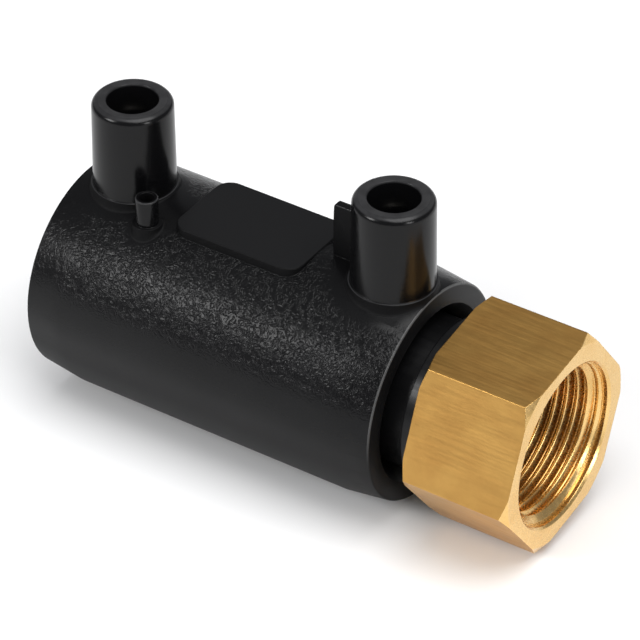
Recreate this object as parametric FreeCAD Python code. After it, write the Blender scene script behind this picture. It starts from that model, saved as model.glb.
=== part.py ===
# Electrofusion coupler for polyethylene pipe, with a brass female thread at its right end.
#
# The left socket takes a pipe. The right socket already holds a spigot of the same pipe size,
# and a brass insert is held in that spigot by barbs, with a seal on its shank. A resistance wire runs
# through the barrel's wall between the two terminal pins.
#
# Millimetres. X runs along the pipe, from the open socket's mouth at 0 towards the brass.
# Z points up, to the terminals. Each solid is written to parts/ under its own name.

import FreeCAD
import Part
import math
import os

# Pipe
pipe_diameter = 25.0
pipe_wall = 2.3

# Barrel
barrel_length = 65.0
barrel_wall = 6.35
end_taper_drop = 0.85
end_taper_length = 7.2
socket_clearance = 0.15
lead_in_width = 2.25
lead_in_length = 3.6
stop_width = 2.2
stop_height = 1.45

# Flat top of the pad and of the seats under the shrouds, above the barrel's crown
flat_height = 0.15

# Terminal shrouds
left_terminal_x = 8.9
right_terminal_inset = 7.24
shroud_height = 15.6
shroud_radius = 6.55
shroud_draft = 0.2
shroud_hole_radius = 4.17
shroud_floor_height = 2.0
shroud_rim_break = 0.7
seat_radius = 7.05

# Terminal pins
pin_radius = 2.0
pin_below_rim = 5.0
pin_tip_break = 0.5
pin_base_radius = 2.6
pin_clearance = 0.02

# Pad between the shrouds
pad_length = 23.5
pad_width = 15.5
pad_offset = 0.5
pad_corner_radius = 2.8
pad_edge_break = 0.15

# Fin beside the right shroud
fin_reach = 4.75
fin_thickness = 1.35
fin_offset = 1.1
fin_height = 9.6
fin_corner_radius = 0.5

# Fusion indicator
indicator_x = 16.5
indicator_y = -7.4
indicator_tube_radius = 1.85
indicator_tube_height = 3.9
indicator_hole_radius = 1.3
indicator_ring_radius = 2.45
indicator_ring_drop = 0.8
indicator_skin = 0.7
indicator_pin_below_rim = 2.3
indicator_pin_break = 0.5
indicator_clearance = 0.08

# Heating wire, square in section, in two fusion zones joined by a straight link
wire_size = 0.8
wire_clearance = 0.05
bore_skin = 0.45
turns_per_zone = 6
turn_pitch = 2.2
steps_per_turn = 12

# Spigot
spigot_end_gap = 0.05
collar_step = 1.1
collar_length = 2.6

# Brass insert
hex_gap = 5.6
hex_length = 18.8
hex_across_flats = 32.0
hex_turn = 21.9
hex_chamfer_radius = 17.0
hex_chamfer_angle = 30.0
hex_seat_gap = 0.05
counterbore_radius = 13.55
counterbore_depth = 1.2
thread_major_radius = 13.22
thread_minor_radius = 12.06
thread_floor_thickness = 2.8

# Barbed shank and its seal
shank_length = 20.2
shank_clearance = 0.06
waterway_wall = 1.5
barb_depth = 0.74
barb_count = 2
barb_pitch = 2.85
seal_groove_width = 2.4
seal_groove_depth = 1.5
seal_width = 2.0
seal_clearance = 0.03
seal_from_hex = 4.4

# Length from which a taper is drawn as a spline
long_taper = 10.0

# Places and sizes that follow from the values above
socket_radius = pipe_diameter / 2 + socket_clearance
mouth_radius = socket_radius + lead_in_width
barrel_radius = socket_radius + barrel_wall
end_radius = barrel_radius - end_taper_drop
collar_radius = pipe_diameter / 2 + collar_step
pipe_bore_radius = pipe_diameter / 2 - pipe_wall
stop_left = (barrel_length - stop_width) / 2
stop_right = (barrel_length + stop_width) / 2
stop_radius = socket_radius - stop_height
flat_top = barrel_radius + flat_height
right_terminal_x = barrel_length - right_terminal_inset
shroud_top = barrel_radius + shroud_height
shroud_floor = barrel_radius + shroud_floor_height
half_step = math.pi / steps_per_turn
corner_clearance = wire_clearance / math.cos(half_step)
pocket_inner_radius = (socket_radius + bore_skin) / math.cos(half_step)
winding_inner_radius = pocket_inner_radius + corner_clearance
winding_outer_radius = winding_inner_radius + wire_size
pocket_outer_radius = winding_outer_radius + corner_clearance
zone_length = turns_per_zone * turn_pitch
pin_foot = pocket_outer_radius
pin_top = shroud_top - pin_below_rim
indicator_top = barrel_radius + indicator_tube_height
indicator_inner_y = abs(indicator_y) - indicator_hole_radius
indicator_floor = math.sqrt((pocket_outer_radius + indicator_skin) ** 2 - indicator_inner_y ** 2)
hex_left = barrel_length + hex_gap
hex_right = hex_left + hex_length
spigot_left = stop_right + spigot_end_gap
spigot_right = hex_left - hex_seat_gap
shank_radius = pipe_bore_radius - shank_clearance
shank_root_radius = shank_radius - barb_depth
waterway_radius = pipe_bore_radius - seal_groove_depth - waterway_wall
shank_left = hex_left - shank_length


def point_along_x(along, radius):
    return FreeCAD.Vector(along, 0, radius)


def point_along_z(along, radius):
    return FreeCAD.Vector(radius, 0, along)


# A straight edge. A long taper is a spline, which revolves into a third of the facets that a cone takes
def straight_edge(start, end):
    parts = sorted(abs(part) for part in end - start)
    if parts[1] == 0 or parts[2] < long_taper:
        return Part.makeLine(start, end)
    spline = Part.BSplineCurve()
    spline.buildFromPolesMultsKnots([start, end], [2, 2], [0, 1], False, 1)
    return spline.toShape()


# A closed outline through corners, each given as along, radius and, where its edge is broken, how far
def outline(corners, place):
    points = [place(corner[0], corner[1]) for corner in corners]
    loop = []
    for index, corner in enumerate(corners):
        here = points[index]
        if len(corner) > 2:
            before = points[index - 1]
            after = points[(index + 1) % len(points)]
            loop.append(here + (before - here).normalize() * corner[2])
            loop.append(here + (after - here).normalize() * corner[2])
        else:
            loop.append(here)
    return Part.Wire([straight_edge(start, end) for start, end in zip(loop, loop[1:] + loop[:1])])


# The same, with round corners for a flat plate
def rounded_outline(corners, place):
    points = [place(corner[0], corner[1]) for corner in corners]
    edges = []
    last = None
    for index, corner in enumerate(corners + corners[:1]):
        here = points[index % len(points)]
        after = points[(index + 1) % len(points)]
        entry = here
        leave = here
        if len(corner) > 2:
            to_before = (points[index % len(points) - 1] - here).normalize()
            to_after = (after - here).normalize()
            entry = here + to_before * corner[2]
            leave = here + to_after * corner[2]
        if last is not None:
            edges.append(Part.makeLine(last, entry))
        if len(corner) > 2 and index < len(points):
            across = (to_before + to_after) * corner[2]
            middle = here + across * (1 - math.sqrt(0.5))
            edges.append(Part.Arc(entry, middle, leave).toShape())
        last = leave
    return Part.Wire(edges)


def turned_along_x(corners):
    face = Part.Face(outline(corners, point_along_x))
    return face.revolve(FreeCAD.Vector(0, 0, 0), FreeCAD.Vector(1, 0, 0), 360)


def turned_along_z(corners, x, y):
    face = Part.Face(outline(corners, point_along_z))
    solid = face.revolve(FreeCAD.Vector(0, 0, 0), FreeCAD.Vector(0, 0, 1), 360)
    solid.translate(FreeCAD.Vector(x, y, 0))
    return solid


def ring_along_x(left, right, inner, outer):
    return turned_along_x([(left, inner), (left, outer), (right, outer), (right, inner)])


def box(low, high):
    size = [high[axis] - low[axis] for axis in range(3)]
    return Part.makeBox(size[0], size[1], size[2], FreeCAD.Vector(*low))


# The barrel with its tapered ends, both sockets and the pipe stop between them
def barrel():
    taper_right = barrel_length - end_taper_length
    lead_right = barrel_length - lead_in_length
    return turned_along_x([
        (0, mouth_radius),
        (0, end_radius),
        (end_taper_length, barrel_radius),
        (taper_right, barrel_radius),
        (barrel_length, end_radius),
        (barrel_length, mouth_radius),
        (lead_right, socket_radius),
        (stop_right, socket_radius),
        (stop_right, stop_radius),
        (stop_left, stop_radius),
        (stop_left, socket_radius),
        (lead_in_length, socket_radius),
    ])


# A shroud on its raised round seat, with the hole's wall and floor
def shroud(x):
    inside = pocket_outer_radius + 1
    return turned_along_z([
        (inside, 0),
        (inside, seat_radius),
        (flat_top, seat_radius),
        (flat_top, shroud_radius + shroud_draft),
        (shroud_top, shroud_radius, shroud_rim_break),
        (shroud_top, shroud_hole_radius),
        (shroud_floor, shroud_hole_radius),
        (shroud_floor, 0),
    ], x, 0)




# A terminal pin, on a thicker base that ends flush with the shroud's floor
def terminal_pin(x):
    return turned_along_z([
        (pin_foot, 0),
        (pin_foot, pin_base_radius),
        (shroud_floor, pin_base_radius),
        (shroud_floor, pin_radius),
        (pin_top, pin_radius, pin_tip_break),
        (pin_top, 0),
    ], x, 0)


# The seat of the pin's base in the barrel's wall, open to the wire below it
def pin_seat(x):
    bottom = pin_foot - wire_clearance
    seat = Part.makeCylinder(pin_base_radius + pin_clearance, shroud_floor + 1 - bottom)
    seat.translate(FreeCAD.Vector(x, 0, bottom))
    return seat


def rounded_rectangle(center_x, center_y, length, width, radius, z):
    left = center_x - length / 2
    right = center_x + length / 2
    near = center_y - width / 2
    far = center_y + width / 2
    corners = [
        (left, near, radius),
        (right, near, radius),
        (right, far, radius),
        (left, far, radius),
    ]
    return rounded_outline(corners, lambda x, y: FreeCAD.Vector(x, y, z))


# The flat pad, its top edge broken all round
def pad():
    bottom = pocket_outer_radius + 1
    wire = rounded_rectangle(barrel_length / 2, pad_offset, pad_length, pad_width, pad_corner_radius, bottom)
    slab = Part.Face(wire).extrude(FreeCAD.Vector(0, 0, flat_top - bottom))
    rim = [edge for edge in slab.Edges if edge.BoundBox.ZMin > flat_top - 0.01]
    return slab.makeChamfer(pad_edge_break, rim)


# The fin that stands beside the right shroud and runs into its wall
def fin():
    left = right_terminal_x - shroud_radius - fin_reach
    root = right_terminal_x - (shroud_radius + shroud_hole_radius) / 2
    near = fin_offset - fin_thickness / 2
    bottom = pocket_outer_radius + 1
    top = barrel_radius + fin_height
    corners = [(left, bottom), (left, top, fin_corner_radius), (root, top), (root, bottom)]
    wire = rounded_outline(corners, lambda x, z: FreeCAD.Vector(x, near, z))
    return Part.Face(wire).extrude(FreeCAD.Vector(0, fin_thickness, 0))


# The small tube that the indicator rises in, on a low round ring
def indicator_tube():
    tube = Part.makeCylinder(indicator_tube_radius, indicator_top - indicator_floor)
    tube.translate(FreeCAD.Vector(indicator_x, indicator_y, indicator_floor))
    ring_height = barrel_radius - indicator_ring_drop - indicator_floor
    ring = Part.makeCylinder(indicator_ring_radius, ring_height)
    ring.translate(FreeCAD.Vector(indicator_x, indicator_y, indicator_floor))
    return tube.fuse(ring)


def indicator_hole():
    hole = Part.makeCylinder(indicator_hole_radius, indicator_top - indicator_floor + 1)
    hole.translate(FreeCAD.Vector(indicator_x, indicator_y, indicator_floor))
    return hole


# A corner of the many-sided winding: its angle starts at the top
def winding_corner(step, x, radius):
    angle = 2 * math.pi * step / steps_per_turn
    return FreeCAD.Vector(x, radius * math.sin(angle), radius * math.cos(angle))


def winding_prism(left, right, radius):
    corners = [winding_corner(step, left, radius) for step in range(steps_per_turn + 1)]
    face = Part.Face(Part.makePolygon(corners))
    return face.extrude(FreeCAD.Vector(right - left, 0, 0))


# The space that one zone of the wire fills in the barrel's wall
def zone_space(start_x):
    margin = wire_size / 2 + wire_clearance
    left = start_x - margin
    right = start_x + zone_length + margin
    outer = winding_prism(left, right, pocket_outer_radius)
    return outer.cut(winding_prism(left - 1, right + 1, pocket_inner_radius))


# Both zones and the straight channel between them
def winding_space():
    margin = wire_size / 2 + wire_clearance
    left_end = left_terminal_x + zone_length
    right_start = right_terminal_x - zone_length
    low = winding_inner_radius - wire_clearance
    channel = box((left_end, -margin, low), (right_start, margin, pocket_outer_radius))
    return zone_space(left_terminal_x).fuse([zone_space(right_start), channel])


def coupler_body():
    solids = [shroud(left_terminal_x), shroud(right_terminal_x), pad(), fin(), indicator_tube()]
    body = barrel().fuse(solids)
    cuts = [indicator_hole(), winding_space()]
    for x in (left_terminal_x, right_terminal_x):
        cuts.append(pin_seat(x))
    return body.cut(cuts).removeSplitter()


# One turn section after another, each a square in the plane through the barrel's axis
def winding(start_x):
    half = wire_size / 2
    sections = []
    for step in range(turns_per_zone * steps_per_turn + 1):
        x = start_x + turn_pitch * step / steps_per_turn
        loop = [
            winding_corner(step, x - half, winding_inner_radius),
            winding_corner(step, x + half, winding_inner_radius),
            winding_corner(step, x + half, winding_outer_radius),
            winding_corner(step, x - half, winding_outer_radius),
        ]
        sections.append(Part.makePolygon(loop + loop[:1]))
    return Part.makeLoft(sections, True, True)


def heating_coil():
    half = wire_size / 2
    link_left = left_terminal_x + zone_length - half
    link_right = right_terminal_x - zone_length + half
    top = winding_outer_radius - half * math.tan(half_step)
    link = box((link_left, -half, winding_inner_radius), (link_right, half, top))
    left = winding(left_terminal_x)
    right = winding(right_terminal_x - zone_length)
    return left.fuse([right, link])


def fusion_indicator():
    radius = indicator_hole_radius - indicator_clearance
    top = indicator_top - indicator_pin_below_rim
    return turned_along_z([
        (indicator_floor, 0),
        (indicator_floor, radius),
        (top, radius, indicator_pin_break),
        (top, 0),
    ], indicator_x, indicator_y)


# A length of pipe with a collar that meets the hexagon
def pe_spigot():
    outer = pipe_diameter / 2
    collar_left = spigot_right - collar_length
    return turned_along_x([
        (spigot_left, pipe_bore_radius),
        (spigot_left, outer),
        (collar_left, outer),
        (collar_left, collar_radius),
        (spigot_right, collar_radius),
        (spigot_right, pipe_bore_radius),
    ])


def hexagon():
    corner_radius = hex_across_flats / 2 / math.cos(math.pi / 6)
    corners = []
    for side in range(7):
        angle = math.radians(hex_turn + 60 * side)
        y = corner_radius * math.sin(angle)
        z = corner_radius * math.cos(angle)
        corners.append(FreeCAD.Vector(hex_left, y, z))
    prism = Part.Face(Part.makePolygon(corners)).extrude(FreeCAD.Vector(hex_length, 0, 0))
    limit = corner_radius + 1
    slope = (limit - hex_chamfer_radius) * math.tan(math.radians(hex_chamfer_angle))
    chamfers = turned_along_x([
        (hex_left, 0),
        (hex_left, hex_chamfer_radius),
        (hex_left + slope, limit),
        (hex_right - slope, limit),
        (hex_right, hex_chamfer_radius),
        (hex_right, 0),
    ])
    return prism.common(chamfers)


# The shank, with barbs that slope towards its tip
def shank():
    corners = [(shank_left, 0)]
    for barb in range(barb_count):
        start = shank_left + barb * barb_pitch
        corners.append((start, shank_root_radius))
        corners.append((start + barb_pitch, shank_radius))
    corners.append((hex_left + 1, shank_radius))
    corners.append((hex_left + 1, 0))
    return turned_along_x(corners)


def seal_groove():
    center = hex_left - seal_from_hex
    left = center - seal_groove_width / 2
    right = center + seal_groove_width / 2
    return ring_along_x(left, right, pipe_bore_radius - seal_groove_depth, pipe_bore_radius + 1)


# The bore, from the counterbore at its mouth through the thread's core to the waterway
def brass_bore():
    thread_right = hex_right - counterbore_depth
    lead = thread_major_radius - thread_minor_radius
    thread_left = hex_left + thread_floor_thickness
    return turned_along_x([
        (shank_left - 1, 0),
        (shank_left - 1, waterway_radius),
        (thread_left, waterway_radius),
        (thread_left, thread_minor_radius),
        (thread_right - lead, thread_minor_radius),
        (thread_right, thread_major_radius),
        (thread_right, counterbore_radius),
        (hex_right + 1, counterbore_radius),
        (hex_right + 1, 0),
    ])


def brass_insert():
    return hexagon().fuse(shank()).cut([brass_bore(), seal_groove()]).removeSplitter()


# The seal as it sits, pressed flat between the groove's floor and the spigot's bore
def seal():
    center = hex_left - seal_from_hex
    inner = pipe_bore_radius - seal_groove_depth + seal_clearance
    outer = pipe_bore_radius - seal_clearance
    return ring_along_x(center - seal_width / 2, center + seal_width / 2, inner, outer)


parts = {
    "coupler_body": coupler_body(),
    "heating_coil": heating_coil(),
    "terminal_pin_left": terminal_pin(left_terminal_x),
    "terminal_pin_right": terminal_pin(right_terminal_x),
    "fusion_indicator": fusion_indicator(),
    "pe_spigot": pe_spigot(),
    "brass_insert": brass_insert(),
    "seal_ring": seal(),
}

os.makedirs("parts", exist_ok=True)
for name, shape in parts.items():
    shape.exportStep("parts/" + name + ".step")
    print(name, shape.isValid(), len(shape.Solids), round(shape.Volume, 1))
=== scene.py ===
import math
import bmesh
import bpy
from mathutils import Matrix, Vector


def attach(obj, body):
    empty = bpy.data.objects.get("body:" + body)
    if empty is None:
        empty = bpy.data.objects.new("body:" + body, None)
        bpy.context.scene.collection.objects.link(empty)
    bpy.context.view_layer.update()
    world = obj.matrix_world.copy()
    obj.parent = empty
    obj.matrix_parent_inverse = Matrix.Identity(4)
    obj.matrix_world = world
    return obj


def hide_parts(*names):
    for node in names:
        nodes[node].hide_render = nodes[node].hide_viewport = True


# Electrofusion coupler with a brass female thread: surfaces, thread, light and camera.
# The studio is in metres. All other sizes are in millimetres.
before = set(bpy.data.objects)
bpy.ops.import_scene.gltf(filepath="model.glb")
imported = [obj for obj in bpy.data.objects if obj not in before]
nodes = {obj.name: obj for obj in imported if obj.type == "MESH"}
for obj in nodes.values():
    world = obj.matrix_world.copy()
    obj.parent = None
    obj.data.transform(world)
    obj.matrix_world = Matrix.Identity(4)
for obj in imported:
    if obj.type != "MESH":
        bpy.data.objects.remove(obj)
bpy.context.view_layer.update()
scene = bpy.context.scene
millimetre = 0.001
mergeDistance = 0.002
placeTolerance = 0.01
edgeSamples = 6
noiseRange = (0.3, 0.7)      # most of a noise's values lie between these
print("frame loaded:", len(nodes), "nodes")


# Turns an sRGB hex value to linear
def colour(hexText):
    channels = [int(hexText[i:i + 2], 16) / 255 for i in (1, 3, 5)]
    return tuple(c / 12.92 if c <= 0.04045 else ((c + 0.055) / 1.055) ** 2.4 for c in channels) + (1.0,)


# Adds a node; plain names are its settings, socket names or numbers are values, links feed sockets
def addNode(tree, kind, settings=None, values=None, links=None):
    node = tree.nodes.new(kind)
    for name, value in (settings or {}).items():
        setattr(node, name, value)
    for socket, value in (values or {}).items():
        node.inputs[socket].default_value = value
    for socket, source in (links or {}).items():
        tree.links.new(source, node.inputs[socket])
    return node


def newMaterial(name):
    material = bpy.data.materials.new(name)
    material.use_nodes = True
    tree = material.node_tree
    tree.nodes.clear()
    shader = addNode(tree, "ShaderNodeBsdfPrincipled")
    addNode(tree, "ShaderNodeOutputMaterial", links={"Surface": shader.outputs["BSDF"]})
    coordinates = addNode(tree, "ShaderNodeTexCoord")
    scaled = addNode(tree, "ShaderNodeMapping", values={"Scale": (1 / millimetre,) * 3},
                     links={"Vector": coordinates.outputs["Object"]})  # pattern sizes are in millimetres
    return material, tree, shader, scaled.outputs["Vector"]


# Multiplies its factors. A socket counts as it is. (number, low, high) is a smooth step from 0 to 1
# as the number goes from low to high, and two more values take the place of 0 and 1.
def product(tree, *factors):
    result = None
    for factor in factors:
        if isinstance(factor, tuple):
            number, low, high, *ends = factor
            start, end = ends or (0.0, 1.0)
            factor = addNode(tree, "ShaderNodeMapRange", {"interpolation_type": "SMOOTHSTEP"},
                             {"From Min": low, "From Max": high, "To Min": start, "To Max": end},
                             {"Value": number}).outputs["Result"]
        if result is not None:
            factor = addNode(tree, "ShaderNodeMath", {"operation": "MULTIPLY"},
                             links={0: result, 1: factor}).outputs[0]
        result = factor
    return result


# Distance in plan from an upright axis at x, y
def planDistance(tree, position, x, y):
    flat = addNode(tree, "ShaderNodeVectorMath", {"operation": "MULTIPLY"}, {1: (1, 1, 0)}, {0: position})
    return addNode(tree, "ShaderNodeVectorMath", {"operation": "DISTANCE"}, {1: (x, y, 0)},
                   {0: flat.outputs[0]}).outputs["Value"]


# Normals of softly rounded edges, with a pattern's relief on top
def relief(tree, height, strength, depth, edgeRadius):
    edge = addNode(tree, "ShaderNodeBevel", {"samples": edgeSamples}, {"Radius": edgeRadius * millimetre})
    bump = addNode(tree, "ShaderNodeBump", values={"Strength": strength, "Distance": depth * millimetre},
                   links={"Height": height, "Normal": edge.outputs["Normal"]})
    return bump.outputs["Normal"]


# Black polyethylene, with the finishes that the mould's steel left on it, and painted highlights on the
# barrel's end edge and at the shrouds' feet. A pair is the range over which something fades in or out, and a
# density is in patches to the millimetre. Speckles and pits are coarser than real ones, so that they show.
polyethylene = {
    "black": "#09090a",
    "cloudedBlack": "#0e0e0f",
    "padBlack": "#121213",
    "rimWornAndFootHighlight": "#2e2e2f",        # rims scuffed grey by plugs, and the painted highlight line at the shrouds' feet
    "endEdgeHighlight": "#4c4c4c",        # painted highlight: a thin grey line on the barrel's end edge
    "ior": 1.42,
    "grainLevel": 0.24,
    "polishLevel": 0.28,
    "erodedLevel": 0.15,
    "edgeRadius": 0.2,           # how round a moulded edge looks
    "cloudDensity": 0.12,
    "cloudRange": (0.35, 0.7),
    "speckleDensity": 6.0,
    "speckleStrength": 0.2,
    "grainSpeckle": 0.006,
    "polishSpeckle": 0.004,
    "wrinkleSpacing": 1.2,       # from one set of wrinkles of the leather grain to the next
    "wrinkleFold": 0.1,
    "grainHeight": 0.052,
    "grainInner": (17.6, 18.1),  # distances from the barrel's axis
    "grainOuter": (19.01, 19.05),
    "grainZ": (3.5, 9),
    "grainBelow": 0.03,
    "grainX": (5.5, 8.0),
    "grainAtEnd": 0.45,
    "quietZ": (-2, 4),
    "quietRounds": (             # x, y, and the distances over which the grain comes back
        (8.9, 0, 7.9, 9.8),
        (57.76, 0, 8.4, 11.8),
        (16.5, -7.4, 2.6, 4.0),
        (18.5, -3.4, 4.0, 5.4),
    ),
    "grainRoughness": 0.27,
    "lowerRoughness": 0.55,
    "lowerZ": (-6, 2),
    "padRoughness": 0.45,
    "padLowZ": (19.02, 19.08),
    "padHighZ": (19.17, 19.25),
    "endX": (64.7, 64.8),
    "endRadii": (17.8, 17.95),
    "endZ": (-4, 6),
    "polishRoughness": 0.2,
    "scuffRoughness": 0.27,
    "rimRoughness": 0.7,
    "flatRimZ": (34.59, 34.599),
    "wornRimZ": (34.15, 34.4),
    "scuffDensity": 0.5,
    "scuffRange": (0.35, 0.6, 0.7, 1.0),
    "tubeInner": (1.6, 1.7),
    "tubeOuter": (2.0, 2.2),
    "tubeLowZ": (22.65, 22.75),
    "tubeHighZ": (23.0, 23.2),
    "footHighlightZ": (19.16, 19.19),
    "footHighlightClear": (2.2, 2.4),
    "pitDensity": 4.0,
    "pitStrength": 0.4,
    "pitDepth": 0.01,
    "erodedRoughness": (0.52, 0.6),
}


# The barrel's skin: leather grain that glitters in worm-like wrinkles, a smooth, finely matted pad, and a
# painted highlight on the end edge
def mouldedPolyethylene():
    finish = polyethylene
    material, tree, shader, position = newMaterial("moulded black polyethylene")
    axes = addNode(tree, "ShaderNodeSeparateXYZ", links={"Vector": position})
    along, up = axes.outputs["X"], axes.outputs["Z"]
    across = addNode(tree, "ShaderNodeVectorMath", {"operation": "MULTIPLY"}, {1: (0, 1, 1)}, {0: position})
    radius = addNode(tree, "ShaderNodeVectorMath", {"operation": "LENGTH"},
                     links={0: across.outputs[0]}).outputs["Value"]
    onBarrel = product(tree, (radius, *finish["grainOuter"], 1, 0), (radius, *finish["grainInner"]))
    # The grain stops short of the shrouds and the indicator, and fades out below and at the open end
    grainAmount = onBarrel
    for x, y, near, far in finish["quietRounds"]:
        distance = planDistance(tree, position, x, y)
        quiet = product(tree, (up, *finish["quietZ"]), (distance, near, far, 1, 0))
        clear = addNode(tree, "ShaderNodeMath", {"operation": "SUBTRACT"}, {0: 1.0}, {1: quiet})
        grainAmount = product(tree, grainAmount, clear.outputs[0])
    grainAmount = product(tree, grainAmount, (up, *finish["grainZ"], finish["grainBelow"], 1),
                          (along, *finish["grainX"], finish["grainAtEnd"], 1))
    # Wrinkles: a noise is folded up and down several times, and two such sets cross
    noise = addNode(tree, "ShaderNodeTexNoise", links={"Vector": position},
                    values={"Scale": 1 / finish["wrinkleSpacing"], "Detail": 1.0, "Roughness": 0.4,
                            "Distortion": 0.7})
    channels = addNode(tree, "ShaderNodeSeparateColor", links={"Color": noise.outputs["Color"]})
    wrinkles = []
    for channel in ("Red", "Green"):
        folded = addNode(tree, "ShaderNodeMath", {"operation": "PINGPONG"}, {1: finish["wrinkleFold"]},
                         {0: channels.outputs[channel]})
        wrinkles.append(product(tree, (folded.outputs[0], 0.0, finish["wrinkleFold"], 1, 0)))
    height = addNode(tree, "ShaderNodeMath", {"operation": "MAXIMUM"}, links={0: wrinkles[0], 1: wrinkles[1]})
    speckle = addNode(tree, "ShaderNodeTexNoise", values={"Scale": finish["speckleDensity"], "Detail": 2.0},
                      links={"Vector": position})
    fine = relief(tree, speckle.outputs["Fac"], finish["speckleStrength"], finish["grainSpeckle"],
                  finish["edgeRadius"])
    grain = addNode(tree, "ShaderNodeBump", values={"Distance": finish["grainHeight"] * millimetre},
                    links={"Height": height.outputs[0], "Strength": grainAmount, "Normal": fine})
    tree.links.new(grain.outputs["Normal"], shader.inputs["Normal"])
    barrelRoughness = product(tree, (up, *finish["lowerZ"], finish["lowerRoughness"], finish["grainRoughness"]))
    roughness = addNode(tree, "ShaderNodeMix", {"data_type": "FLOAT"}, {2: finish["padRoughness"]},
                        {0: onBarrel, 3: barrelRoughness})
    tree.links.new(roughness.outputs[0], shader.inputs["Roughness"])
    clouds = addNode(tree, "ShaderNodeTexNoise", values={"Scale": finish["cloudDensity"], "Detail": 3.0},
                     links={"Vector": position})
    shades = addNode(tree, "ShaderNodeValToRGB", links={"Fac": clouds.outputs["Fac"]})
    for stop, place, tone in zip(shades.color_ramp.elements, finish["cloudRange"], ("black", "cloudedBlack")):
        stop.position = place
        stop.color = colour(finish[tone])
    onPad = product(tree, (up, *finish["padLowZ"]), (up, *finish["padHighZ"], 1, 0))
    # Painted highlight: a thin grey line along the barrel's end edge, strongest on its upper side
    paintedEndHighlight = product(tree, (along, *finish["endX"]), (radius, *finish["endRadii"]), (up, *finish["endZ"]))
    tint = shades.outputs["Color"]
    for place, tone in ((onPad, "padBlack"), (paintedEndHighlight, "endEdgeHighlight")):
        tint = addNode(tree, "ShaderNodeMix", {"data_type": "RGBA"}, {7: colour(finish[tone])},
                       {0: place, 6: tint}).outputs[2]
    tree.links.new(tint, shader.inputs["Base Color"])
    shader.inputs["IOR"].default_value = finish["ior"]
    shader.inputs["Specular IOR Level"].default_value = finish["grainLevel"]
    return material


# Shrouds, fin and tube come from polished steel: an even, deeper gloss, with rims that plugs scuffed grey and a
# painted highlight line round the shrouds' feet
def polishedPolyethylene():
    finish = polyethylene
    material, tree, shader, position = newMaterial("black polyethylene from a polished mould")
    axes = addNode(tree, "ShaderNodeSeparateXYZ", links={"Vector": position})
    up = axes.outputs["Z"]
    fromTube = planDistance(tree, position, moulding["indicatorX"], moulding["indicatorY"])
    scuffs = addNode(tree, "ShaderNodeTexNoise", values={"Scale": finish["scuffDensity"], "Detail": 4.0},
                     links={"Vector": position})
    wearAndFootHighlight = product(tree, (up, *finish["wornRimZ"]), (scuffs.outputs["Fac"], *finish["scuffRange"]))
    tubeEdge = product(tree, (fromTube, *finish["tubeInner"]), (fromTube, *finish["tubeOuter"], 1, 0),
                       (up, *finish["tubeLowZ"]), (up, *finish["tubeHighZ"], 1, 0))
    # Painted highlight: a thin grey line round the foot of each shroud, in the same grey as the scuffed rims
    paintedFootHighlight = product(tree, (up, *finish["footHighlightZ"], 1, 0), (fromTube, *finish["footHighlightClear"]))
    for place in (tubeEdge, paintedFootHighlight):
        wearAndFootHighlight = addNode(tree, "ShaderNodeMath", {"operation": "MAXIMUM"}, links={0: wearAndFootHighlight, 1: place}).outputs[0]
    tint = addNode(tree, "ShaderNodeMix", {"data_type": "RGBA"},
                   {6: colour(finish["black"]), 7: colour(finish["rimWornAndFootHighlight"])}, {0: wearAndFootHighlight})
    tree.links.new(tint.outputs[2], shader.inputs["Base Color"])
    scuffed = addNode(tree, "ShaderNodeMix", {"data_type": "FLOAT"},
                      {2: finish["polishRoughness"], 3: finish["scuffRoughness"]}, {0: wearAndFootHighlight})
    flatRim = product(tree, (up, *finish["flatRimZ"]))
    roughness = addNode(tree, "ShaderNodeMix", {"data_type": "FLOAT"}, {3: finish["rimRoughness"]},
                        {0: flatRim, 2: scuffed.outputs[0]})
    tree.links.new(roughness.outputs[0], shader.inputs["Roughness"])
    speckle = addNode(tree, "ShaderNodeTexNoise", values={"Scale": finish["speckleDensity"], "Detail": 2.0},
                      links={"Vector": position})
    fine = relief(tree, speckle.outputs["Fac"], finish["speckleStrength"], finish["polishSpeckle"],
                  finish["edgeRadius"])
    tree.links.new(fine, shader.inputs["Normal"])
    shader.inputs["IOR"].default_value = finish["ior"]
    shader.inputs["Specular IOR Level"].default_value = finish["polishLevel"]
    return material


# The pad's walls, the seats' feet and the fin's front keep the mould's eroded finish: a dead, even black
def erodedPolyethylene():
    finish = polyethylene
    material, tree, shader, position = newMaterial("black polyethylene from an eroded mould")
    pits = addNode(tree, "ShaderNodeTexNoise", values={"Scale": finish["pitDensity"], "Detail": 2.0},
                   links={"Vector": position})
    pitted = relief(tree, pits.outputs["Fac"], finish["pitStrength"], finish["pitDepth"], finish["edgeRadius"])
    tree.links.new(pitted, shader.inputs["Normal"])
    roughness = product(tree, (pits.outputs["Fac"], *noiseRange, *finish["erodedRoughness"]))
    tree.links.new(roughness, shader.inputs["Roughness"])
    shader.inputs["Base Color"].default_value = colour(finish["black"])
    shader.inputs["IOR"].default_value = finish["ior"]
    shader.inputs["Specular IOR Level"].default_value = finish["erodedLevel"]
    return material


# Pipe end: extrusion leaves it smooth, with faint draw lines along it
pipe = {
    "black": "#0b0b0c",
    "ior": 1.46,
    "level": 0.28,
    "lineScale": (0.04, 1.2, 1.2),
    "lineStrength": 0.25,
    "lineDepth": 0.02,
    "roughness": (0.28, 0.36),
    "edgeRadius": 0.35,
    "sharpAngle": 20,
}


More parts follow.
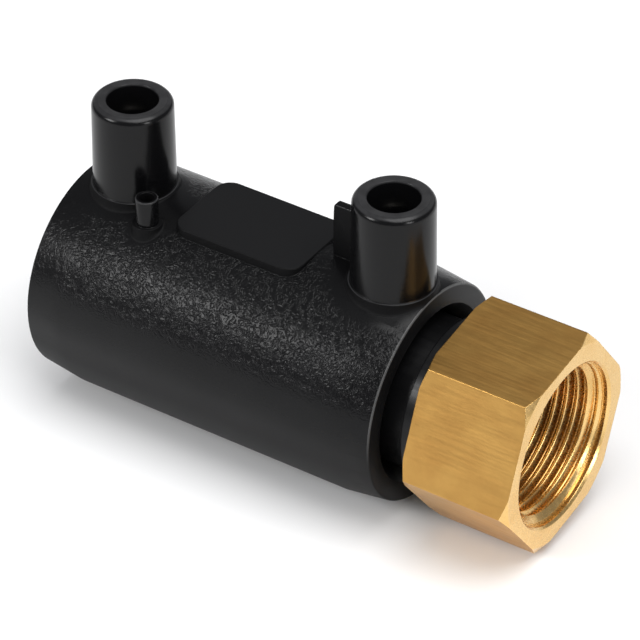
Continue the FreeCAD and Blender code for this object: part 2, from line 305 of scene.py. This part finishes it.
def extrudedPolyethylene():
    material, tree, shader, position = newMaterial("extruded black polyethylene")
    stretched = addNode(tree, "ShaderNodeMapping", values={"Scale": pipe["lineScale"]},
                        links={"Vector": position})
    lines = addNode(tree, "ShaderNodeTexNoise", values={"Scale": 1.0, "Detail": 2.0},
                    links={"Vector": stretched.outputs["Vector"]})
    drawn = relief(tree, lines.outputs["Fac"], pipe["lineStrength"], pipe["lineDepth"], pipe["edgeRadius"])
    tree.links.new(drawn, shader.inputs["Normal"])
    roughness = product(tree, (lines.outputs["Fac"], *noiseRange, *pipe["roughness"]))
    tree.links.new(roughness, shader.inputs["Roughness"])
    shader.inputs["Base Color"].default_value = colour(pipe["black"])
    shader.inputs["IOR"].default_value = pipe["ior"]
    shader.inputs["Specular IOR Level"].default_value = pipe["level"]
    return material


# Brass. The bar's drawn flats are dulled and stained, with faint lengthwise lines, drawn coarser than real
# ones so that they show. What the lathe cut is fresh and brighter, its tool marks too fine to see singly.
brassFinishes = {
    "drawn brass bar": {
        "light": "#d3a45b",
        "deep": "#c59551",
        "roughness": (0.31, 0.43),
        "scratchScale": (0.12, 3.0, 3.0),
        "scratchDepth": 0.005,
    },
    "turned brass": {
        "light": "#ecc684",
        "deep": "#e4ba74",
        "roughness": (0.22, 0.32),
        "scratchScale": (1.5, 1.5, 1.5),
        "scratchDepth": 0.0008,
    },
    "stainDensity": 0.16,
    "stainRange": (0.3, 0.62),
    "scratchRange": (0.3, 0.75),
    "edgeRadius": 0.15,
}


def brass(name):
    finish = brassFinishes[name]
    material, tree, shader, position = newMaterial(name)
    stains = addNode(tree, "ShaderNodeTexNoise", links={"Vector": position},
                     values={"Scale": brassFinishes["stainDensity"], "Detail": 5.0, "Roughness": 0.6})
    shades = addNode(tree, "ShaderNodeValToRGB", links={"Fac": stains.outputs["Fac"]})
    for stop, place, tone in zip(shades.color_ramp.elements, brassFinishes["stainRange"], ("deep", "light")):
        stop.position = place
        stop.color = colour(finish[tone])
    tree.links.new(shades.outputs["Color"], shader.inputs["Base Color"])
    stretched = addNode(tree, "ShaderNodeMapping", values={"Scale": finish["scratchScale"]},
                        links={"Vector": position})
    scratches = addNode(tree, "ShaderNodeTexNoise", links={"Vector": stretched.outputs["Vector"]},
                        values={"Scale": 1.0, "Detail": 4.0, "Roughness": 0.65})
    roughness = product(tree, (scratches.outputs["Fac"], *brassFinishes["scratchRange"], *finish["roughness"]))
    tree.links.new(roughness, shader.inputs["Roughness"])
    marks = relief(tree, scratches.outputs["Fac"], 1.0, finish["scratchDepth"], brassFinishes["edgeRadius"])
    tree.links.new(marks, shader.inputs["Normal"])
    shader.inputs["Metallic"].default_value = 1.0
    return material


# Small metal pieces. Tin plating is pale and bright with a cloudy bloom, and the wire keeps a warm, duller
# sheen from the drawing die.
smallMetals = {
    "tin-plated brass pin": {"colour": "#c9c4ba", "density": 2.0, "detail": 3.0, "roughness": (0.22, 0.38)},
    "drawn copper-nickel wire": {"colour": "#b98a6a", "density": 3.0, "detail": 2.0, "roughness": (0.3, 0.45)},
}


def smallMetal(name):
    finish = smallMetals[name]
    material, tree, shader, position = newMaterial(name)
    bloom = addNode(tree, "ShaderNodeTexNoise", values={"Scale": finish["density"], "Detail": finish["detail"]},
                    links={"Vector": position})
    roughness = product(tree, (bloom.outputs["Fac"], *noiseRange, *finish["roughness"]))
    tree.links.new(roughness, shader.inputs["Roughness"])
    shader.inputs["Base Color"].default_value = colour(finish["colour"])
    shader.inputs["Metallic"].default_value = 1.0
    return material


# Seal: moulded nitrile rubber is dull, with a very fine skin
rubber = {"black": "#1b1b1b", "roughness": 0.65, "density": 5.0, "strength": 0.3, "depth": 0.01}


def sealRubber():
    material, tree, shader, position = newMaterial("moulded nitrile rubber")
    skin = addNode(tree, "ShaderNodeTexNoise", values={"Scale": rubber["density"], "Detail": 2.0},
                   links={"Vector": position})
    bump = addNode(tree, "ShaderNodeBump", links={"Height": skin.outputs["Fac"]},
                   values={"Strength": rubber["strength"], "Distance": rubber["depth"] * millimetre})
    tree.links.new(bump.outputs["Normal"], shader.inputs["Normal"])
    shader.inputs["Base Color"].default_value = colour(rubber["black"])
    shader.inputs["Roughness"].default_value = rubber["roughness"]
    return material


# Marks as sharp the edges that turn by more than a limit, and smooths all faces
def smoothBy(bm, limit):
    for face in bm.faces:
        face.smooth = True
    for meshEdge in bm.edges:
        if len(meshEdge.link_faces) == 2:
            meshEdge.smooth = meshEdge.calc_face_angle(0) < math.radians(limit)


# A merged copy of a CAD node's mesh, to dress and to add small forms to
def copyOfNode(name):
    bm = bmesh.new()
    bm.from_mesh(nodes[name].data)
    bmesh.ops.remove_doubles(bm, verts=bm.verts, dist=mergeDistance * millimetre)
    return bm


def finishPiece(bm, name, materials, replaced):
    mesh = bpy.data.meshes.new(name)
    bm.to_mesh(mesh)
    bm.free()
    for material in materials:
        mesh.materials.append(material)
    piece = bpy.data.objects.new(name, mesh)
    scene.collection.objects.link(piece)
    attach(piece, "root")
    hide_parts(replaced)


# The moulding's forms, as in the CAD body. A rounding is how far an edge is cut back, and in how many
# strips. The foot roll is the fillet at a shroud's foot, as radii and heights.
moulding = {
    "barrelRadius": 19.0,
    "endRadius": 18.15,
    "taperLength": 7.2,
    "barrelLength": 65.0,
    "seatTop": 19.15,
    "seatRadius": 7.05,
    "seatFoot": 0.5,             # how far the foot of a seat runs out over the barrel
    "footRoll": ((6.755, 19.36), (6.775, 19.27), (6.82, 19.2), (6.9, 19.16)),
    "shroudX": (8.9, 57.76),
    "shroudTop": 34.6,
    "shroudRadius": 6.55,
    "rimBreak": 0.7,
    "rimRounding": (0.42, 4),
    "holeRadius": 4.17,
    "holeRounding": (0.3, 2),
    "indicatorX": 16.5,
    "indicatorY": -7.4,
    "tubeTop": 22.9,
    "tubeRadius": 1.85,
    "tubeRounding": (0.2, 2),
    "ringTop": 18.2,
    "ringRadius": 2.45,
    "ringFoot": 0.45,
    "finFront": 0.425,
    "finFoot": 0.2,
    "finAngle": 60,
    "finRounding": (0.22, 2),
    "endRounding": (0.25, 2),
    "padHalfLength": 11.9,
    "padSides": (-7.5, 8.5),
    "padWallZ": (16.5, 19.14),
    "padWallTilt": 0.8,          # the most that a wall's normal leans upwards
    "polishAbove": 0.02,
    "flatAngle": 0.4,
    "sharpAngle": 24,
}

# How a foot is drawn: its rings crowd towards the seat, and the last one lies just inside the barrel
foot = {
    "segments": 72,
    "rings": 7,
    "crowding": 1.6,
    "hollow": 2.2,
    "sunk": 0.004,
    "endMargin": 0.12,
}


# Height of the barrel's surface above its axis plane at x, y
def barrelHeight(x, y):
    fromEnd = min(max(min(x, moulding["barrelLength"] - x), 0), moulding["taperLength"])
    slope = (moulding["barrelRadius"] - moulding["endRadius"]) / moulding["taperLength"]
    return math.sqrt((moulding["endRadius"] + fromEnd * slope) ** 2 - y * y)


# A concave foot that blends a round seat's wall into the barrel; roll is the fillet above its edge
def addFoot(bm, x, y, top, radius, reach, roll=()):
    firstRadius, firstZ = roll[0] if roll else (radius, top)
    centre = Matrix.Translation(Vector((x, y, firstZ)) * millimetre)
    ring = bmesh.ops.create_circle(bm, cap_ends=False, segments=foot["segments"],
                                   radius=firstRadius * millimetre, matrix=centre)["verts"]
    edges = list({meshEdge for vert in ring for meshEdge in vert.link_edges})
    stations = [(*place, 0) for place in (*roll[1:], (radius, top))] if roll else []
    for step in range(1, foot["rings"] + 1):
        share = step / foot["rings"]
        stations.append((radius + reach * share ** foot["crowding"], top, share))
    faces = []
    for ringRadius, ringZ, share in stations:
        grown = bmesh.ops.extrude_edge_only(bm, edges=edges)["geom"]
        added = [item for item in grown if isinstance(item, bmesh.types.BMFace)]
        edges = [item for item in grown if isinstance(item, bmesh.types.BMEdge) and len(item.link_faces) == 1]
        for vert in {v for meshEdge in edges for v in meshEdge.verts}:
            offset = Vector((vert.co.x / millimetre - x, vert.co.y / millimetre - y))
            offset *= ringRadius / offset.length
            placeX = min(max(x + offset.x, foot["endMargin"]), moulding["barrelLength"] - foot["endMargin"])
            placeY = y + offset.y
            surface = min(barrelHeight(placeX, placeY), ringZ)
            placeZ = surface + (ringZ - surface) * (1 - share) ** foot["hollow"] - foot["sunk"] * share
            vert.co = Vector((placeX, placeY, placeZ)) * millimetre
        for face in added:
            face.material_index = 1 if share > 0 else 2
        faces += added
    bmesh.ops.recalc_face_normals(bm, faces=faces)
    if sum(face.normal.z for face in faces) < 0:
        bmesh.ops.reverse_faces(bm, faces=faces)


# The edges whose two ends both pass a test
def edgesWhere(bm, test):
    return [meshEdge for meshEdge in bm.edges if all(test(vert.co / millimetre) for vert in meshEdge.verts)]


# The edges of a level circle
def levelCircle(bm, x, y, z, radius):
    near = 2 * placeTolerance
    return edgesWhere(bm, lambda end: abs(end.z - z) < near
                      and abs(math.hypot(end.x - x, end.y - y) - radius) < near)


def roundEdges(bm, edges, rounding):
    size, strips = rounding
    bmesh.ops.bevel(bm, geom=edges, offset=size * millimetre, offset_type="OFFSET", segments=strips,
                    profile=0.5, affect="EDGES", material=-1)


# Body: the moulding with rounded rims, tube, fin and end edge, and blended seats
def buildBody():
    bm = copyOfNode("coupler_body")
    bmesh.ops.dissolve_limit(bm, angle_limit=math.radians(moulding["flatAngle"]), verts=bm.verts,
                             edges=bm.edges)
    shroudTop, rimBreak = moulding["shroudTop"], moulding["rimBreak"]
    for x in moulding["shroudX"]:
        rim = levelCircle(bm, x, 0, shroudTop, moulding["shroudRadius"] - rimBreak)
        rim += levelCircle(bm, x, 0, shroudTop - rimBreak, moulding["shroudRadius"])
        roundEdges(bm, rim, moulding["rimRounding"])
        roundEdges(bm, levelCircle(bm, x, 0, shroudTop, moulding["holeRadius"]), moulding["holeRounding"])
    indicator = (moulding["indicatorX"], moulding["indicatorY"])
    tubeRim = levelCircle(bm, *indicator, moulding["tubeTop"], moulding["tubeRadius"])
    roundEdges(bm, tubeRim, moulding["tubeRounding"])
    finFront, seatTop = moulding["finFront"], moulding["seatTop"]
    finEdges = edgesWhere(bm, lambda end: abs(end.y - finFront) < placeTolerance
                          and end.z > seatTop + moulding["finFoot"])
    finEdges = [meshEdge for meshEdge in finEdges if len(meshEdge.link_faces) == 2
                and meshEdge.calc_face_angle(0) > math.radians(moulding["finAngle"])]
    roundEdges(bm, finEdges, moulding["finRounding"])
    endEdges = edgesWhere(bm, lambda end: end.x > moulding["barrelLength"] - placeTolerance
                          and abs(math.hypot(end.y, end.z) - moulding["endRadius"]) < 3 * placeTolerance)
    roundEdges(bm, endEdges, moulding["endRounding"])
    lowSide, highSide = moulding["padSides"]
    wallFoot, wallTop = moulding["padWallZ"]
    for face in bm.faces:
        middle = face.calc_center_median() / millimetre
        onFin = abs(middle.y - finFront) < placeTolerance and middle.z > seatTop
        nearPad = (abs(middle.x - moulding["barrelLength"] / 2) < moulding["padHalfLength"]
                   and lowSide < middle.y < highSide and wallFoot < middle.z < wallTop)
        if onFin or (nearPad and abs(face.normal.z) < moulding["padWallTilt"]):
            face.material_index = 1
        elif middle.z > seatTop + moulding["polishAbove"]:
            face.material_index = 2
    for x in moulding["shroudX"]:
        addFoot(bm, x, 0, seatTop, moulding["seatRadius"], moulding["seatFoot"], moulding["footRoll"])
    addFoot(bm, *indicator, moulding["ringTop"], moulding["ringRadius"], moulding["ringFoot"])
    smoothBy(bm, moulding["sharpAngle"])
    finishPiece(bm, "moulded_body", [mouldedPolyethylene(), erodedPolyethylene(), polishedPolyethylene()],
                "coupler_body")


def buildSpigot():
    bm = copyOfNode("pe_spigot")
    smoothBy(bm, pipe["sharpAngle"])
    finishPiece(bm, "pipe_end", [extrudedPolyethylene()], "pe_spigot")


# Brass end: the CAD hexagon and shank, with a real thread in place of the plain bore
thread = {
    "majorRadius": 13.22,
    "minorRadius": 12.06,
    "pitch": 1.814,              # 14 threads to the inch
    "rootRounding": 0.1373,      # in pitches
    "arcAngle": 62.5,            # what is left of a right angle beside a flank of the 55 degree form
    "arcSteps": 3,
    "runIn": 1.2,                # pitches cut before the floor and trimmed off again
    "stepsPerTurn": 96,
    "floorX": 73.4,
    "mouthX": 88.2,
    "faceX": 89.4,
    "counterbore": 13.55,
    "mouthEdge": 13.93,
    "edgeDepth": 0.4,
    "boreRadii": (11.9, 13.6),
    "endRadii": (11.9, 13.4),
    "mouthRadii": (13.0, 14.0),
    "trimDistance": 1e-4,
    "flatRadius": 15.9,          # the hexagon's flats lie further out than this
    "flatTilt": 0.02,
    "sharpAngle": 25,
}


# One pitch of the form, from root to root, as points along X and outward
def threadProfile():
    pitch = thread["pitch"]
    rounding = thread["rootRounding"] * pitch
    points = []
    for step in range(thread["arcSteps"] + 1):
        turn = math.radians(thread["arcAngle"] * step / thread["arcSteps"])
        points.append((rounding * math.sin(turn), thread["majorRadius"] - rounding * (1 - math.cos(turn))))
    crest = [(pitch / 2 - x, thread["majorRadius"] + thread["minorRadius"] - r) for x, r in reversed(points)]
    half = points + crest
    return half + [(pitch - x, r) for x, r in reversed(half[:-1])]


def cutThread():
    bm = bmesh.new()
    pitch, mouth = thread["pitch"], thread["mouthX"]
    start = thread["floorX"] - thread["runIn"] * pitch
    corners = [bm.verts.new(Vector((start + x, 0, r)) * millimetre) for x, r in threadProfile()]
    profile = [bm.edges.new(pair) for pair in zip(corners, corners[1:])]
    turns = math.ceil((mouth - start) / pitch) + 1
    bmesh.ops.spin(bm, geom=corners + profile, cent=(0, 0, 0), axis=(1, 0, 0), angle=2 * math.pi * turns,
                   dvec=(pitch / thread["stepsPerTurn"] * millimetre, 0, 0),
                   steps=turns * thread["stepsPerTurn"], use_merge=False)
    bmesh.ops.remove_doubles(bm, verts=bm.verts, dist=mergeDistance * millimetre)
    # The chamfer at the mouth takes the crests away
    lead = thread["majorRadius"] - thread["minorRadius"]
    for vert in bm.verts:
        radius = math.hypot(vert.co.y, vert.co.z)
        chamfer = thread["minorRadius"] * millimetre + vert.co.x - (mouth - lead) * millimetre
        if vert.co.x < mouth * millimetre and chamfer > radius:
            vert.co.yz *= chamfer / radius
        elif vert.co.x >= mouth * millimetre:
            vert.co.yz *= thread["majorRadius"] * millimetre / radius
    for x, outer in ((thread["floorX"], False), (mouth, True)):
        bmesh.ops.bisect_plane(bm, geom=bm.verts[:] + bm.edges[:] + bm.faces[:],
                               dist=thread["trimDistance"] * millimetre,
                               plane_co=(x * millimetre, 0, 0), plane_no=(1, 0, 0),
                               clear_outer=outer, clear_inner=not outer)
    return bm


# The open edges in the plane at x, between two distances from the axis
def openLoop(bm, x, low, high):
    found = []
    for meshEdge in bm.edges:
        middle = (meshEdge.verts[0].co + meshEdge.verts[1].co) / 2 / millimetre
        inPlane = len(meshEdge.link_faces) == 1 and abs(middle.x - x) < placeTolerance
        if inPlane and low < math.hypot(middle.y, middle.z) < high:
            found.append(meshEdge)
    return found


def buildBrass():
    bm = copyOfNode("brass_insert")
    # The plain bore goes, from the thread's floor to the front face
    plain = []
    low, high = thread["boreRadii"]
    for face in bm.faces:
        middle = face.calc_center_median() / millimetre
        inside = thread["floorX"] + placeTolerance < middle.x < thread["faceX"] - placeTolerance
        if inside and low < math.hypot(middle.y, middle.z) < high:
            plain.append(face)
    bmesh.ops.delete(bm, geom=plain, context="FACES")
    loop = openLoop(bm, thread["faceX"], *thread["mouthRadii"])
    for vert in {v for meshEdge in loop for v in meshEdge.verts}:
        vert.co.yz *= thread["mouthEdge"] / thread["counterbore"]
    # The mouth's edge, the counterbore and its floor, extruded inward ring by ring
    rings = [
        (thread["faceX"] - thread["edgeDepth"], thread["counterbore"]),
        (thread["mouthX"], thread["counterbore"]),
        (thread["mouthX"], thread["majorRadius"]),
    ]
    for x, radius in rings:
        grown = bmesh.ops.extrude_edge_only(bm, edges=loop)["geom"]
        loop = [item for item in grown if isinstance(item, bmesh.types.BMEdge) and len(item.link_faces) == 1]
        for vert in {v for meshEdge in loop for v in meshEdge.verts}:
            vert.co.yz *= radius * millimetre / math.hypot(vert.co.y, vert.co.z)
            vert.co.x = x * millimetre
    cut = cutThread()
    threadMesh = bpy.data.meshes.new("thread")
    cut.to_mesh(threadMesh)
    cut.free()
    bm.from_mesh(threadMesh)
    for x in (thread["floorX"], thread["mouthX"]):
        bmesh.ops.bridge_loops(bm, edges=openLoop(bm, x, *thread["endRadii"]))
    bmesh.ops.remove_doubles(bm, verts=bm.verts, dist=mergeDistance * millimetre)
    bmesh.ops.recalc_face_normals(bm, faces=bm.faces)
    # The hexagon's flats keep the bar's own surface
    for face in bm.faces:
        middle = face.calc_center_median() / millimetre
        if abs(face.normal.x) < thread["flatTilt"] and math.hypot(middle.y, middle.z) > thread["flatRadius"]:
            face.material_index = 1
    smoothBy(bm, thread["sharpAngle"])
    finishPiece(bm, "brass_end", [brass("turned brass"), brass("drawn brass bar")],
                "brass_insert")


buildBody()
buildSpigot()
buildBrass()
print("body, pipe end and brass end built")

dressed = {
    "heating_coil": smallMetal("drawn copper-nickel wire"),
    "terminal_pin_left": smallMetal("tin-plated brass pin"),
    "terminal_pin_right": smallMetal("tin-plated brass pin"),
    "fusion_indicator": polishedPolyethylene(),
    "seal_ring": sealRubber(),
}
for name, material in dressed.items():
    nodes[name].data.materials.clear()
    nodes[name].data.materials.append(material)
print("carried-over nodes dressed")

# Studio, in metres: a pale table, a dim room, a large light above, a softbox in front on the left and a
# narrow one far to the right. A light has its place, what it points at, its size and its watts.
studio = {
    "floorZ": -0.01902,
    "floorSize": 6.0,
    "floor": "#f6f6f6",
    "floorRoughness": (0.75, 0.8),
    "floorLevel": 0.1,
    "floorDensity": 0.02,
    "room": "#a2a3a6",
    "roomStrength": 0.75,
    "lights": {
        "overheadSoftbox": ((0.40, -0.10, 1.15), (0.04, 0, 0), (1.0, 1.0), 14.0),
        "frontLeftSoftbox": ((-0.50, -0.80, 0.62), (0.03, 0, 0), (0.36, 0.36), 5.9),
        "rightSoftbox": ((1.1, -0.32, 0.42), (0.06, 0, 0), (0.25, 0.4), 3.0),
    },
    "sensorWidth": 36,           # millimetres, as the lens
    "lens": 223.4,
    "clipStart": 0.01,
    "cameraPlace": (
        (0.83533, -0.32938, 0.44017, 0.32028),
        (0.54976, 0.50048, -0.66881, -0.41941),
        (0.0, 0.80067, 0.59914, 0.38133),
        (0, 0, 0, 1),
    ),
}


# Table top: laminate is matte, with a faint unevenness in its sheen
def buildFloor():
    bm = bmesh.new()
    bmesh.ops.create_grid(bm, x_segments=1, y_segments=1, size=studio["floorSize"])
    bmesh.ops.translate(bm, verts=bm.verts, vec=(0, 0, studio["floorZ"]))
    mesh = bpy.data.meshes.new("table")
    bm.to_mesh(mesh)
    bm.free()
    table = bpy.data.objects.new("table", mesh)
    scene.collection.objects.link(table)
    material, tree, shader, position = newMaterial("matte white laminate")
    uneven = addNode(tree, "ShaderNodeTexNoise", values={"Scale": studio["floorDensity"], "Detail": 2.0},
                     links={"Vector": position})
    roughness = product(tree, (uneven.outputs["Fac"], *noiseRange, *studio["floorRoughness"]))
    tree.links.new(roughness, shader.inputs["Roughness"])
    shader.inputs["Base Color"].default_value = colour(studio["floor"])
    shader.inputs["Specular IOR Level"].default_value = studio["floorLevel"]
    mesh.materials.append(material)


buildFloor()
for name, (place, target, size, watts) in studio["lights"].items():
    data = bpy.data.lights.new(name, "AREA")
    data.shape = "RECTANGLE"
    data.size, data.size_y = size
    data.energy = watts
    lamp = bpy.data.objects.new(name, data)
    scene.collection.objects.link(lamp)
    lamp.location = place
    lamp.rotation_euler = (Vector(target) - Vector(place)).to_track_quat("-Z", "Y").to_euler()

world = bpy.data.worlds.new("dim room")
world.use_nodes = True
background = world.node_tree.nodes["Background"]
background.inputs["Color"].default_value = colour(studio["room"])
background.inputs["Strength"].default_value = studio["roomStrength"]
scene.world = world
scene.view_settings.view_transform = "Standard"

# Camera: a long lens, high on the indicator's side and past the brass end
cameraData = bpy.data.cameras.new("camera")
cameraData.sensor_fit = "HORIZONTAL"
cameraData.sensor_width = studio["sensorWidth"]
cameraData.lens = studio["lens"]
cameraData.clip_start = studio["clipStart"]
camera = bpy.data.objects.new("camera", cameraData)
scene.collection.objects.link(camera)
camera.matrix_world = Matrix(studio["cameraPlace"])
scene.camera = camera
print("studio and camera placed")
